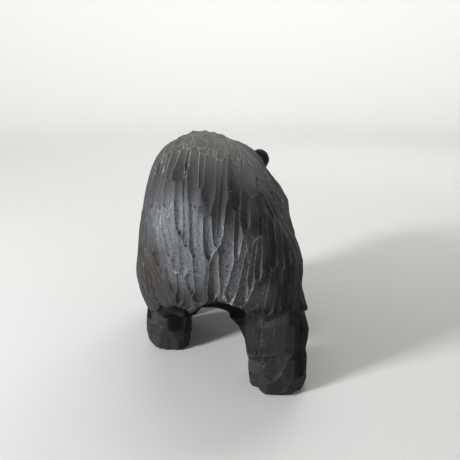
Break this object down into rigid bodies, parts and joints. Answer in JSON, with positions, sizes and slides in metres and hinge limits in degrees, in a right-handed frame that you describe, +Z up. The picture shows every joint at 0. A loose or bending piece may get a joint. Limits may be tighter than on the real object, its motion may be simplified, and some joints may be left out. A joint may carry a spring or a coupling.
{
  "type": "carved wooden bear figure",
  "caption": "Small walking bear carved from one block of wood and stained black, head turned to its right, coat cut in long flutes.",
  "frame": {"origin": "under the middle of the bear's bounding box, in the plane of its four soles", "axes": "+Z up, -Y the way the bear walks, +X its left side"},
  "size_m": [0.0688, 0.137, 0.0927],
  "materials": {
    "stained_wood": "satin black stain, worn paler on the ridges"
  },
  "bodies": {
    "root": {"bear": "stained_wood"}
  },
  "joints": []
}
